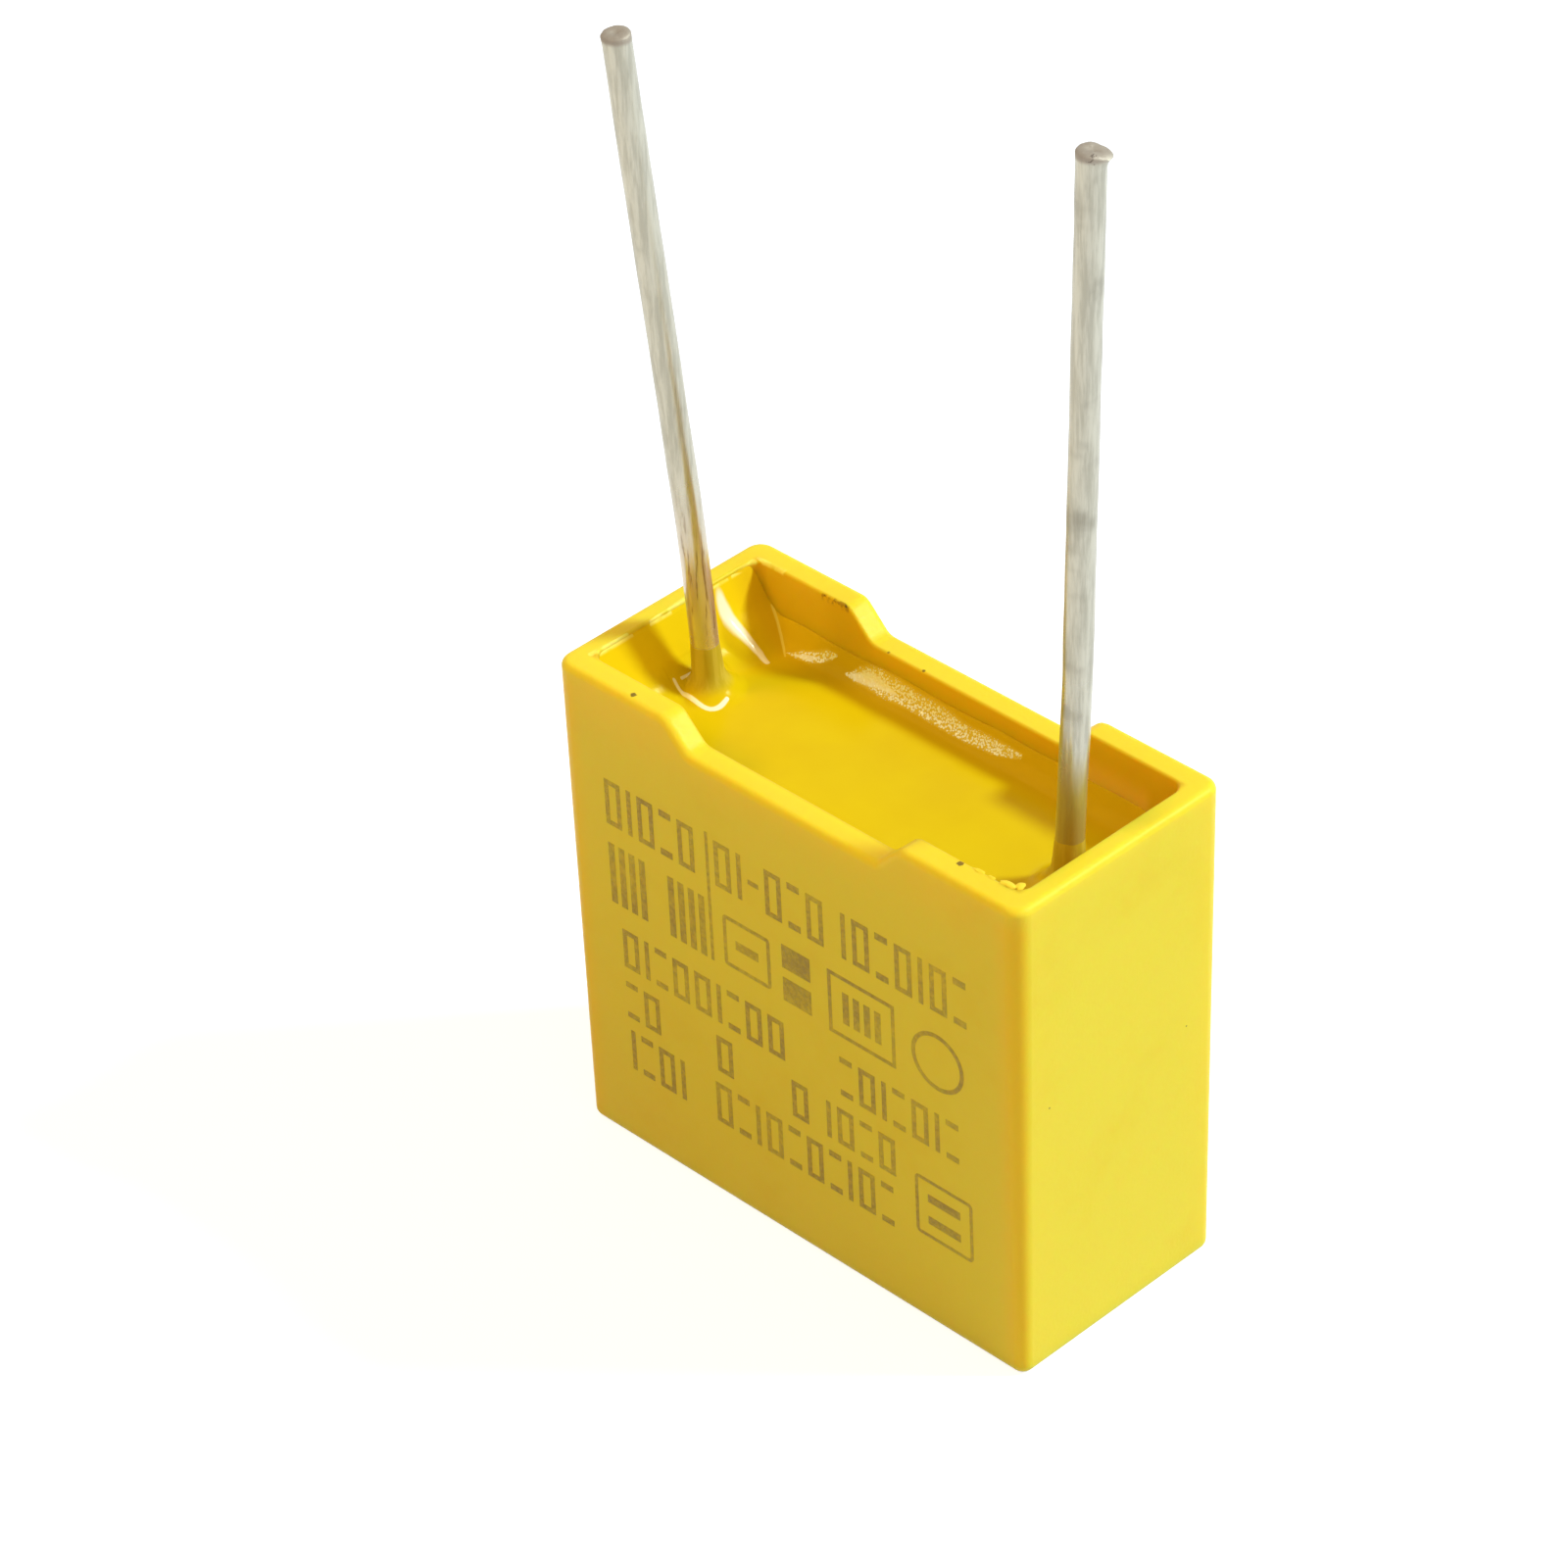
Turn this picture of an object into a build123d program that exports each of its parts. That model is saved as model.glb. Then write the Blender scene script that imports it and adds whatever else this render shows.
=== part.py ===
"""Box-type film safety capacitor: moulded case, potting resin, flattened film winding and two tinned leads.

Frame: millimetres, +Z up. The case stands on its closed base with its open, potted end and its leads upwards.
The origin is the centre of the base. +X runs along the lead pitch and -Y faces the printed long side.
"""
from build123d import *
from math import cos, radians, sin, tan
import os

# ---- Case: one moulding, open at the top, widest at its rim ----
case_width = 13.0           # outside, along the lead pitch, at the rim
case_depth = 6.0            # outside, across the long walls, at the rim
case_height = 12.0          # base to seating plane
end_wall = 0.5              # thickness of the two short walls at the rim
side_wall = 0.62            # thickness of the two long walls at the rim
base_thickness = 0.7        # closed end
draft_angle = 0.6           # degrees on each wall, so that the moulding leaves its tool
corner_radius = 0.27        # outside upright corners at the base; the draft opens them out towards the rim
cavity_corner_radius = 0.2  # inside upright corners at the floor
base_edge_radius = 0.22     # round between base and walls
rim_edge_radius = 0.17      # soft outside edge all round the open end
mouth_edge_radius = 0.06    # crisper inside edge of the open end

# ---- Standoff feet: the rim stays full height at both ends and steps down between them ----
foot_length = 3.2           # full-height stretch of each long wall, from the end face
foot_height = 0.65          # how far the feet stand above the rim between them
foot_slope_run = 0.65       # length of the ramp down from each foot
foot_bend_radius = 0.35     # soft bends at the top and the bottom of each ramp

# ---- Leads: tinned wire, welded to the winding's ends ----
lead_diameter = 0.6
lead_end_gap = 0.7          # between each lead and the inside of its end wall; sets a pitch of 10
lead_inner_rise = 2.35      # underside of the winding up to each lead's lower end
lead_bend_depth = 0.53      # flat resin down to the first bend; the wire stands upright below it
lead_bend_radius = 5.0      # all bends of the wire
lead_tip_edge = 0.04        # broken edge at each cut tip
left_turn = 75.0            # degrees from straight outwards to the way the left lead leans, by the printed side
left_lean = 3.7             # degrees from upright above the first bend
left_second_bend = 2.51     # seating plane up to the left lead's second bend
left_upper_lean = 5.26      # degrees from upright above it
left_length = 14.25         # seating plane up to the left lead's tip
right_turn = 0.0            # degrees, the same for the right lead, which leans straight outwards
right_lean = 3.4            # degrees from upright above the first bend
right_second_bend = 3.5     # seating plane up to the right lead's second bend
right_upper_lean = 2.1      # degrees from upright above it
right_length = 15.4         # seating plane up to the right lead's tip

# ---- Winding: a roll of metallised film pressed flat, sprayed with metal on both ends ----
winding_side_gap = 0.43     # resin between the winding and each long wall
winding_clearance = 0.55    # resin between the winding and the case's floor
winding_cover = 0.63        # flat resin down to the top of the winding
spray_thickness = 0.35      # metal layer on each end
weld_depth = 0.1            # how far the lead is sunk into the sprayed metal

# ---- Potting resin: fills the case, and climbs the walls and the leads while it is liquid ----
resin_depth = 1.62          # seating plane down to the flat middle of the resin
end_bare_wall = 0.03        # left between the climbed resin and the mouth's edge, on the end walls
end_climb_lean = 16.0       # degrees from upright at which the resin leaves the end walls
end_climb_radius = 1.0
side_climb = 0.5            # height that it climbs the long walls
side_climb_lean = 24.0      # degrees
side_climb_radius = 0.4
collar_height = 1.2         # height that it climbs each lead
collar_reach = 0.82         # radius of the collar where it meets the flat resin
collar_foot_angle = 15.0    # degrees at which it meets it
collar_lip = 0.04           # thickness of the collar at its top

# ---- Worked out from the sizes above ----
draft_slope = tan(radians(draft_angle))
resin_level = case_height - resin_depth
end_climb = resin_depth - mouth_edge_radius - end_bare_wall
lead_radius = lead_diameter / 2
lead_x = case_width / 2 - end_wall - lead_end_gap - lead_radius
lead_bend_z = resin_level - lead_bend_depth
spray_face_x = lead_x - lead_radius + weld_depth
winding_length = 2 * (spray_face_x - spray_thickness)
winding_thickness = case_depth - 2 * (side_wall + winding_side_gap)
winding_low_z = base_thickness + winding_clearance
winding_height = resin_level - winding_cover - winding_low_z
winding_centre_z = winding_low_z + winding_height / 2
overcut = 1.0               # how far cutting shapes pass the faces that they cut
tolerance = 0.001           # for telling edges and corners apart by their place


def drafted_block(rim_width, rim_depth, low_z, high_z, radius):
    """Rounded block whose walls lean outwards, with the given plan size at the height of the rim."""
    shrink = 2 * (case_height - low_z) * draft_slope
    plan = RectangleRounded(rim_width - shrink, rim_depth - shrink, radius)
    return Pos(0, 0, low_z) * extrude(plan, high_z - low_z, taper=-draft_angle)


def trough(half_floor, floor_z, lean, radius, top_z, length, direction):
    """Bar with a flat underside and leaning sides: what it cuts away leaves a concave rise at each side."""
    half_top = half_floor + (top_z - floor_z) * tan(radians(lean))
    outline = Polyline(
        (-half_top, top_z), (-half_floor, floor_z), (half_floor, floor_z), (half_top, top_z), close=True
    )
    section = make_face(outline)
    feet = section.vertices().filter_by(lambda corner: abs(corner.Y - floor_z) < tolerance)
    section = fillet(feet, radius)
    plane = Plane.XZ if direction == "Y" else Plane.YZ
    return extrude(plane * section, length / 2, both=True)


def rim_profile():
    """Everything above the rim, seen along Y: flat over the feet, with ramps down to the rim between them."""
    foot_x = case_width / 2 - foot_length
    step_x = foot_x - foot_slope_run
    step_z = case_height - foot_height
    side_x = case_width / 2 + overcut
    lid_z = case_height + 2 * overcut
    outline = Polyline(
        (-side_x, lid_z), (-side_x, case_height), (-foot_x, case_height), (-step_x, step_z),
        (step_x, step_z), (foot_x, case_height), (side_x, case_height), (side_x, lid_z), close=True,
    )
    section = make_face(outline)
    bends = section.vertices().filter_by(lambda corner: abs(corner.X) < foot_x + tolerance)
    return fillet(bends, foot_bend_radius)


def rim_edges(body, outside):
    """Outside or inside edges of the rim, without the bend lines that cross it."""
    rim_faces = [
        face for face in body.faces()
        if face.center().Z > case_height - foot_height - tolerance and face.normal_at().Z > 0.3
    ]
    found = [edge for face in rim_faces for edge in face.edges()]
    once = [edge for edge in found if sum(edge.is_same(other) for other in found) == 1]
    return [
        edge for edge in once
        if outside == (abs(edge.center().X) > (case_width - end_wall) / 2
                       or abs(edge.center().Y) > (case_depth - side_wall) / 2)
    ]


def make_cavity(high_z):
    """The space inside the case, from its floor up to the given height."""
    return drafted_block(
        case_width - 2 * end_wall, case_depth - 2 * side_wall, base_thickness, high_z, cavity_corner_radius
    )


def make_case():
    blank = drafted_block(case_width, case_depth, 0, case_height + overcut, corner_radius)
    blank = fillet(blank.faces().sort_by(Axis.Z)[0].edges(), base_edge_radius)
    body = blank - make_cavity(case_height + overcut)
    body -= extrude(Plane.XZ * rim_profile(), case_depth, both=True)
    body = fillet(rim_edges(body, outside=False), mouth_edge_radius)
    return fillet(rim_edges(body, outside=True), rim_edge_radius)


def lead_root_x(side, lean, z):
    """Where the axis of one lead is at a height between its two bends, before it is turned."""
    return side * (lead_x + (z - lead_bend_z) * tan(radians(lean)))


def turned(shape, side, turn):
    """A shape that leans straight outwards, turned about its lead's upright axis towards the printed side."""
    return Pos(side * lead_x, 0, 0) * Rot(0, 0, -side * turn) * Pos(-side * lead_x, 0, 0) * shape


def make_lead(side, turn, lean, second_bend, upper_lean, length):
    """One wire: upright along the winding, then two straight runs that lean more and more."""
    bend_z = case_height + second_bend
    tip_z = case_height + length
    bend_x = lead_root_x(side, lean, bend_z)
    tip_x = bend_x + side * (tip_z - bend_z) * tan(radians(upper_lean))
    path = FilletPolyline(
        (side * lead_x, 0, winding_low_z + lead_inner_rise), (side * lead_x, 0, lead_bend_z),
        (bend_x, 0, bend_z), (tip_x, 0, tip_z), radius=lead_bend_radius,
    )
    wire = sweep(Plane(path @ 0, z_dir=path % 0) * Circle(lead_radius), path)
    tip = wire.faces().sort_by(Axis.Z)[-1]
    return turned(chamfer(tip.edges(), lead_tip_edge), side, turn)


def make_winding():
    section = Rot(0, 0, 90) * SlotOverall(winding_height, winding_thickness)
    roll = extrude(Plane.YZ * section, winding_length / 2, both=True)
    return Pos(0, 0, winding_centre_z) * roll


def make_end_spray(side, lead):
    """Sprayed metal on one end of the winding, with the groove that its welded lead lies in."""
    section = Rot(0, 0, 90) * SlotOverall(winding_height, winding_thickness)
    layer = extrude(Plane.YZ * section, spray_thickness)
    low_x = winding_length / 2 if side > 0 else -winding_length / 2 - spray_thickness
    return Pos(low_x, 0, winding_centre_z) * layer - lead


def make_collar(side, turn, lean):
    """Resin that has climbed one lead: a flared ring about the lead's leaning axis."""
    lip_radius = lead_radius + collar_lip
    flare_radius = (collar_reach - lip_radius) / (1 - sin(radians(collar_foot_angle)))
    flare_z = flare_radius * cos(radians(collar_foot_angle))
    flare = CenterArc((lip_radius + flare_radius, flare_z), flare_radius, 180, 90)
    sides = Polyline(
        (lip_radius, flare_z), (lip_radius, collar_height), (0, collar_height), (0, -collar_reach),
        (lip_radius + flare_radius, flare_z - flare_radius),
    )
    ring = revolve(Plane.XZ * make_face(flare + sides), Axis.Z)
    ring = Pos(lead_root_x(side, lean, resin_level), 0, resin_level) * Rot(0, side * lean, 0) * ring
    return turned(ring, side, turn)


def make_resin(inner_parts):
    """Resin fill: the cavity up to the climbed edges, scooped out on top, round everything sealed inside."""
    top_z = resin_level + end_climb + overcut
    narrowing = resin_depth * draft_slope
    half_end = case_width / 2 - end_wall - narrowing - end_climb * tan(radians(end_climb_lean))
    half_side = case_depth / 2 - side_wall - narrowing - side_climb * tan(radians(side_climb_lean))
    across = trough(half_end, resin_level, end_climb_lean, end_climb_radius, top_z, 2 * case_depth, "Y")
    along = trough(half_side, resin_level, side_climb_lean, side_climb_radius, top_z, 2 * case_width, "X")
    cavity = make_cavity(case_height)
    fill = make_cavity(resin_level + end_climb) - (across & along)
    for side, turn, lean in ((-1, left_turn, left_lean), (1, right_turn, right_lean)):
        fill += make_collar(side, turn, lean) & cavity
    for part in inner_parts:
        fill -= part
    return fill


case = make_case()
lead_left = make_lead(-1, left_turn, left_lean, left_second_bend, left_upper_lean, left_length)
lead_right = make_lead(1, right_turn, right_lean, right_second_bend, right_upper_lean, right_length)
film_winding = make_winding()
end_spray_left = make_end_spray(-1, lead_left)
end_spray_right = make_end_spray(1, lead_right)
potting_resin = make_resin([film_winding, end_spray_left, end_spray_right, lead_left, lead_right])

nodes = {
    "case": case,
    "potting_resin": potting_resin,
    "film_winding": film_winding,
    "end_spray_left": end_spray_left,
    "end_spray_right": end_spray_right,
    "lead_left": lead_left,
    "lead_right": lead_right,
}
os.makedirs("parts", exist_ok=True)
for name, shape in nodes.items():
    export_step(shape, f"parts/{name}.step")
    print(f"{name}: {shape.volume:.3f} mm3")
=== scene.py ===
from math import cos, exp, pi, radians, sin, sqrt, tan

import bpy
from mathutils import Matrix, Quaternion, Vector, noise


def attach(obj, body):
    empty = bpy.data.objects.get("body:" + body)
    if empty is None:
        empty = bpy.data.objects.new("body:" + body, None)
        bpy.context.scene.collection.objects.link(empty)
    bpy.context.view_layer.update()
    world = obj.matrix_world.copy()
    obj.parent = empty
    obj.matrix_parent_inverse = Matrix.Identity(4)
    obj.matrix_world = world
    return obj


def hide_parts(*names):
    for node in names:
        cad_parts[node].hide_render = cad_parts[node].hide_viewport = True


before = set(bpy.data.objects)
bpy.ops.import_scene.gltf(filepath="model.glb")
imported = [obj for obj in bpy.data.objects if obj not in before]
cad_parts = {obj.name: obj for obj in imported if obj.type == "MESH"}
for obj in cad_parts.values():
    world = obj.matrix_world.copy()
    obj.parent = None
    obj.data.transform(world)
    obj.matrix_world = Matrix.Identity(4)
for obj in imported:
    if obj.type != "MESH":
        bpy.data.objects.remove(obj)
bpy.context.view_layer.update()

MM = 0.001


# ---- Camera ----
# A long lens looks down on the open end, from beyond the corner between the printed side and
# the right-hand end. It stands 128 mm away and leans a little to one side.
camera_place = Vector((71.727, -71.674, 84.361)) * MM
camera_aim = Vector((-2.955, -0.002, 8.924)) * MM
camera_roll = radians(-2.362)

camera_lens = bpy.data.cameras.new("camera")
camera_lens.lens = 142.1
camera_lens.sensor_width = 36.0
camera_lens.clip_start = 0.005
camera_lens.clip_end = 10.0
camera = bpy.data.objects.new("camera", camera_lens)
camera.location = camera_place
camera.rotation_mode = "QUATERNION"
camera_look = (camera_aim - camera_place).to_track_quat("-Z", "Y")
camera.rotation_quaternion = camera_look @ Quaternion((0, 0, 1), camera_roll)
bpy.context.scene.collection.objects.link(camera)
bpy.context.scene.camera = camera
bpy.context.scene.view_settings.view_transform = "Standard"


# ---- Studio: white card, pale surround and three lamps ----
# The part stands on a sheet of white card, with soft warm light from all round it. The main lamp
# stands behind its right-hand end. A weak one stands close by, before the left of its printed side.
# A broad orange one off its right-hand front corner fills the shadows in the open end.
surround_light = (0.36, 0.28, 0.165, 1.0)
surround_seen = (1.0, 1.0, 1.0, 1.0)
card_colour = (0.48, 0.56, 0.75, 1.0)
card_glow = 0.80
card_half = 1.5
lamps_aim = Vector((0, 0, 8)) * MM


def empty_tree(owner):
    """The node tree of a world or a material, with nothing in it yet."""
    owner.use_nodes = True
    owner.node_tree.nodes.clear()
    return owner.node_tree


def fill(tree, node, inputs):
    """Gives each input of a node its value, or joins it to another node's output."""
    for name, value in inputs.items():
        socket = node.inputs[name]
        if isinstance(value, bpy.types.NodeSocket):
            tree.links.new(value, socket)
        else:
            socket.default_value = value


def put(tree, kind, inputs=(), **settings):
    """Adds one shader node, with its settings and its inputs."""
    node = tree.nodes.new(kind)
    for name, value in settings.items():
        setattr(node, name, value)
    fill(tree, node, dict(inputs))
    return node


def calc(tree, operation, a, b=0.0, c=0.0):
    """One step of arithmetic, worked out afresh at each point of a surface."""
    return put(tree, "ShaderNodeMath", {0: a, 1: b, 2: c}, operation=operation).outputs[0]


def mix_colour(tree, share, a, b):
    """Colour a where the share is 0, colour b where it is 1, and a mix of them between."""
    return put(tree, "ShaderNodeMix", {0: share, 6: a, 7: b}, data_type="RGBA").outputs[2]


def seen_directly(tree):
    """1 for what is seen straight, in a mirror or through glass, and 0 for light."""
    path = put(tree, "ShaderNodeLightPath").outputs
    either = calc(tree, "MAXIMUM", path["Is Camera Ray"], path["Is Glossy Ray"])
    return calc(tree, "MAXIMUM", either, path["Is Transmission Ray"])


def lamp(name, azimuth, elevation, distance, size, strength, tint, mirrored=True):
    """A round soft lamp. A strength of 1 shows the colour of a surface facing it as written."""
    azimuth, elevation = radians(azimuth), radians(elevation)
    level = cos(elevation)
    towards = Vector((level * cos(azimuth), level * sin(azimuth), sin(elevation)))
    light = bpy.data.lights.new(name, "AREA")
    light.shape = "DISK"
    light.size = 2 * distance * tan(radians(size / 2))
    light.energy = strength * pi ** 2 * distance ** 2
    light.color = tint
    placed = bpy.data.objects.new(name, light)
    placed.visible_glossy = mirrored
    placed.location = towards * distance + lamps_aim
    placed.rotation_euler = towards.to_track_quat("Z", "Y").to_euler()
    bpy.context.scene.collection.objects.link(placed)


lamp("main_lamp", azimuth=45, elevation=40, distance=0.4, size=10, strength=0.87,
     tint=(0.88, 1.0, 1.0))
lamp("near_lamp", azimuth=230, elevation=46, distance=0.07, size=16, strength=0.32,
     tint=(1.0, 0.60, 0.16), mirrored=False)
lamp("side_lamp", azimuth=-25, elevation=40, distance=0.2, size=95, strength=0.50,
     tint=(1.0, 0.62, 0.24), mirrored=False)

surround = bpy.data.worlds.new("surround")
tree = empty_tree(surround)
sky = mix_colour(tree, seen_directly(tree), surround_light, surround_seen)
glow = put(tree, "ShaderNodeBackground", {"Color": sky, "Strength": 1.0})
put(tree, "ShaderNodeOutputWorld", {"Surface": glow.outputs[0]})
bpy.context.scene.world = surround

card_stuff = bpy.data.materials.new("white_card")
tree = empty_tree(card_stuff)
shade = put(tree, "ShaderNodeBsdfDiffuse", {"Color": card_colour})
extra = calc(tree, "MULTIPLY", seen_directly(tree), card_glow)
glow = put(tree, "ShaderNodeEmission", {"Color": (1, 1, 1, 1), "Strength": extra})
both = put(tree, "ShaderNodeAddShader", {0: shade.outputs[0], 1: glow.outputs[0]})
put(tree, "ShaderNodeOutputMaterial", {"Surface": both.outputs[0]})

card_mesh = bpy.data.meshes.new("card")
card_mesh.from_pydata(
    [(-card_half, -card_half, 0), (card_half, -card_half, 0),
     (card_half, card_half, 0), (-card_half, card_half, 0)], [], [(0, 1, 2, 3)])
card = bpy.data.objects.new("card", card_mesh)
card.data.materials.append(card_stuff)
bpy.context.scene.collection.objects.link(card)


# ---- Case ----
# One moulding in yellow flame-retardant polyester, with a satin skin from the mould. Its edges
# are rubbed paler, and a few dark grains of burnt resin show in the skin.
case_width = 13.0
case_depth = 6.0
case_height = 12.0
end_wall = 0.5                          # how thick the walls are at the rim
side_wall = 0.62
draft_slope = tan(radians(0.6))
case_colour = (0.87, 0.72, 0.042, 1.0)
case_deep_colour = (0.85, 0.67, 0.030, 1.0)
case_rubbed_colour = (0.93, 0.77, 0.07, 1.0)
case_ruddy_colour = (0.98, 0.66, 0.025, 1.0)
case_inner_colour = (0.68, 0.45, 0.010, 1.0)
case_glow_colour = (1.0, 0.66, 0.16, 1.0)
grain_colour = (0.08, 0.055, 0.012, 1.0)
charred_colour = (0.24, 0.14, 0.012, 1.0)
rim_highlight_colour = (1.0, 0.92, 0.20, 1.0)
# Each grain: its place in mm, then its radius.
case_grains = [
    ((-4.34, -2.80, 12.00), 0.062), ((4.49, -2.48, 12.00), 0.070), ((-3.99, 2.34, 12.00), 0.050),
    ((-3.72, 2.35, 12.00), 0.040), ((-3.38, 2.36, 12.00), 0.055), ((-2.20, 2.40, 11.38), 0.045),
    ((-1.20, 2.42, 11.35), 0.035), ((6.43, -2.89, 3.87), 0.055), ((6.45, -2.10, 6.71), 0.022),
    ((6.45, 1.97, 6.40), 0.024), ((6.44, 0.60, 2.30), 0.020), ((2.60, 2.98, 7.10), 0.040),
    ((-3.10, 2.96, 4.20), 0.030), ((-6.44, 0.90, 8.20), 0.035),
]
# Painted highlights along the inner edge of the rim, the thread of burnt resin along the inner edge
# of the far rim, and a painted pool of light on the far wall: points in plan, each with a half
# width.
rim_highlight_lines = [
    [(-6.02, -2.38, 0.07), (-5.99, -1.37, 0.05)], [(-5.99, -0.70, 0.03), (-6.03, 0.33, 0.06)],
    [(-5.93, 1.74, 0.05), (-5.95, 2.25, 0.08)], [(-5.94, 2.40, 0.05), (-5.25, 2.43, 0.08)],
    [(5.94, -2.10, 0.05), (5.95, -0.60, 0.03)],
]
charred_line = [(-4.05, 2.36, 0.04), (-3.35, 2.38, 0.06)]
glow_line = [(3.2, 2.42, 0.5), (4.6, 2.42, 0.5)]


def new_finish(name):
    """A material with one Principled shader, whose inputs are still to be filled."""
    finish = bpy.data.materials.new(name)
    tree = empty_tree(finish)
    shader = put(tree, "ShaderNodeBsdfPrincipled")
    put(tree, "ShaderNodeOutputMaterial", {"Surface": shader.outputs[0]})
    return finish, tree, shader


def new_group(name, inputs, *outputs):
    """An empty shader group, with the first value of each input. Each output is one number."""
    group = bpy.data.node_groups.new(name, "ShaderNodeTree")
    for label, value in inputs.items():
        kind = "NodeSocketVector" if isinstance(value, tuple) else "NodeSocketFloat"
        group.interface.new_socket(label, in_out="INPUT", socket_type=kind).default_value = value
    for label in outputs:
        group.interface.new_socket(label, in_out="OUTPUT", socket_type="NodeSocketFloat")
    return group, put(group, "NodeGroupInput").outputs


def use(tree, group, **inputs):
    """Places a shader group with its own values: Grain_size is its input "Grain size"."""
    placed = put(tree, "ShaderNodeGroup", node_tree=group)
    fill(tree, placed, {name.replace("_", " "): value for name, value in inputs.items()})
    return placed.outputs


def vector_calc(tree, operation, a, b, output="Vector"):
    """One step of arithmetic on places or directions."""
    return put(tree, "ShaderNodeVectorMath", {0: a, 1: b}, operation=operation).outputs[output]


def product(tree, first, *others):
    """Several masks multiplied together."""
    for other in others:
        first = calc(tree, "MULTIPLY", first, other)
    return first


def tinted(tree, colour, mask, share, new_colour):
    """The colour with a share of another mixed in, where the mask is 1."""
    return mix_colour(tree, calc(tree, "MULTIPLY", mask, share), colour, new_colour)


def ramp(tree, value, low, high, out_low=0.0, out_high=1.0):
    """Soft step: out_low where the value is at low, out_high where it is at high."""
    stepped = put(tree, "ShaderNodeMapRange",
                  {0: value, 1: low, 2: high, 3: out_low, 4: out_high},
                  interpolation_type="SMOOTHSTEP", clamp=True)
    return stepped.outputs[0]


def clouds(tree, where, rate, detail=2.0, roughness=0.5):
    """Random soft patches from 0 to 1, with so many of them to a metre."""
    inputs = {"Vector": where, "Scale": rate, "Detail": detail, "Roughness": roughness}
    return put(tree, "ShaderNodeTexNoise", inputs).outputs["Fac"]


def place(tree):
    """Where a point of the surface is in the part's frame."""
    return put(tree, "ShaderNodeTexCoord").outputs["Object"]


def by_axis(tree, where):
    """The three measures of a place, by the names X, Y and Z."""
    return put(tree, "ShaderNodeSeparateXYZ", {0: where}).outputs


def relief(tree, shader, height, strength, depth):
    """Makes a skin uneven, with its height at each point and its full depth in metres."""
    bump = put(tree, "ShaderNodeBump", {"Strength": strength, "Distance": depth, "Height": height})
    fill(tree, shader, {"Normal": bump.outputs[0]})


def dress(name, finish):
    """Gives a piece that keeps its own form its material."""
    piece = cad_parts[name]
    piece.data.materials.clear()
    piece.data.materials.append(finish)


# Fine skin: a grain and a slower swell over the surface, both by size in metres.
skin, inside = new_group(
    "skin", {"Place": (0, 0, 0), "Grain size": 0.0001, "Swell size": 0.001, "Grain share": 0.5},
    "Height", "Mottle", "Grain")
grain_rate = calc(skin, "DIVIDE", 1.0, inside["Grain size"])
swell_rate = calc(skin, "DIVIDE", 1.0, inside["Swell size"])
grain = clouds(skin, inside["Place"], grain_rate, 3.0, 0.55)
swell = clouds(skin, inside["Place"], swell_rate)
mottle = clouds(skin, inside["Place"], calc(skin, "MULTIPLY", swell_rate, 0.37), 4.0, 0.6)
height = put(skin, "ShaderNodeMix", {0: inside["Grain share"], 2: swell, 3: grain}).outputs[0]
put(skin, "NodeGroupOutput", {"Height": height, "Mottle": mottle, "Grain": grain})

# One ragged spot: 1 within its radius of its centre, 0 outside.
spot, inside = new_group(
    "spot", {"Place": (0, 0, 0), "Centre": (0, 0, 0), "Radius": 0.0001}, "Mask")
soft_edge = 0.012 * MM
reach = vector_calc(spot, "DISTANCE", inside["Place"], inside["Centre"], "Value")
ragged = calc(spot, "MULTIPLY_ADD", clouds(spot, inside["Place"], 14000.0), 1.3, -0.65)
limit = calc(spot, "MULTIPLY", inside["Radius"], calc(spot, "ADD", ragged, 1.0))
shortfall = calc(spot, "SUBTRACT", limit, reach)
put(spot, "NodeGroupOutput", {"Mask": ramp(spot, shortfall, -soft_edge, soft_edge)})

# One thin line on a surface seen from above: 1 along its middle, and as wide as given at each end.
thin_line, inside = new_group(
    "thin_line", {"Place": (0, 0, 0), "From": (0, 0, 0), "To": (0, 0, 0),
                  "First half width": 0.0001, "Last half width": 0.0001}, "Mask")
level_place = vector_calc(thin_line, "MULTIPLY", inside["Place"], (1.0, 1.0, 0.0))
whole_run = vector_calc(thin_line, "SUBTRACT", inside["To"], inside["From"])
from_start = vector_calc(thin_line, "SUBTRACT", level_place, inside["From"])
along = vector_calc(thin_line, "DOT_PRODUCT", from_start, whole_run, "Value")
run_squared = vector_calc(thin_line, "DOT_PRODUCT", whole_run, whole_run, "Value")
share = put(thin_line, "ShaderNodeMath", {0: along, 1: run_squared}, operation="DIVIDE",
            use_clamp=True).outputs[0]
nearest = put(thin_line, "ShaderNodeVectorMath", {0: whole_run, "Scale": share},
              operation="SCALE").outputs[0]
gap = vector_calc(thin_line, "DISTANCE", from_start, nearest, "Value")
half_width = put(thin_line, "ShaderNodeMix", {0: share, 2: inside["First half width"],
                                              3: inside["Last half width"]}).outputs[0]
put(thin_line, "NodeGroupOutput",
    {"Mask": ramp(thin_line, calc(thin_line, "DIVIDE", gap, half_width), 1.2, 0.6)})


def lines_mask(tree, where, lines):
    """1 along any of the given lines of points in mm, and as wide as each says."""
    covered = 0.0
    for line in lines:
        for (x, y, half), (next_x, next_y, next_half) in zip(line, line[1:]):
            stretch = use(tree, thin_line, Place=where, From=(x * MM, y * MM, 0),
                          To=(next_x * MM, next_y * MM, 0), First_half_width=half * MM,
                          Last_half_width=next_half * MM)["Mask"]
            covered = calc(tree, "MAXIMUM", stretch, covered)
    return covered


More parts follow.
